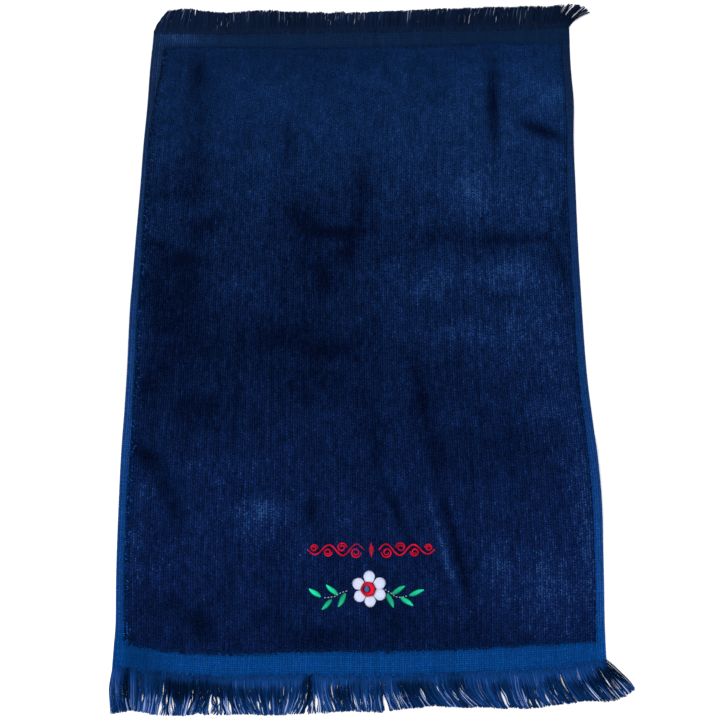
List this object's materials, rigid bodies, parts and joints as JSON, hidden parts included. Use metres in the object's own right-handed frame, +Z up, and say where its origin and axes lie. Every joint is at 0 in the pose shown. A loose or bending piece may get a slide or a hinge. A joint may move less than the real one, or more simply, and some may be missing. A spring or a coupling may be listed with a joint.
{
  "type": "fingertip towel",
  "caption": "Small fringed velour towel lying flat, with flat woven bands and selvedges and an embroidered flower sprig at one end.",
  "frame": {"origin": "on the floor that the towel lies on, in the middle of its outline with both fringes", "axes": "+Z up out of the pile, +Y along the towel from the embroidered end to the plain end, +X across it, to the right as the sprig is seen upright"},
  "size_m": [0.2943, 0.4558, 0.0043],
  "materials": {
    "towel_cloth": "navy cotton velour with short cut pile, soft and matt with a slight nap sheen, and plain woven bands and selvedges",
    "fringe": "loose twisted navy cotton warp threads in locks, matt",
    "white_thread": "white satin stitch in glossy embroidery thread",
    "red_thread": "red satin stitch in glossy embroidery thread",
    "grey_thread": "blue-grey satin stitch in glossy embroidery thread",
    "green_thread": "emerald green satin stitch in glossy embroidery thread"
  },
  "bodies": {
    "root": {"towel_cloth": "towel_cloth", "fringe_near": "fringe", "fringe_far": "fringe", "flower_petals": "white_thread", "flower_ring": "red_thread", "flower_eye": "grey_thread", "leaf_1": "green_thread", "leaf_2": "green_thread", "leaf_3": "green_thread", "leaf_4": "green_thread", "leaf_5": "green_thread", "leaf_6": "green_thread", "leaf_7": "green_thread", "leaf_8": "green_thread"}
  },
  "joints": []
}
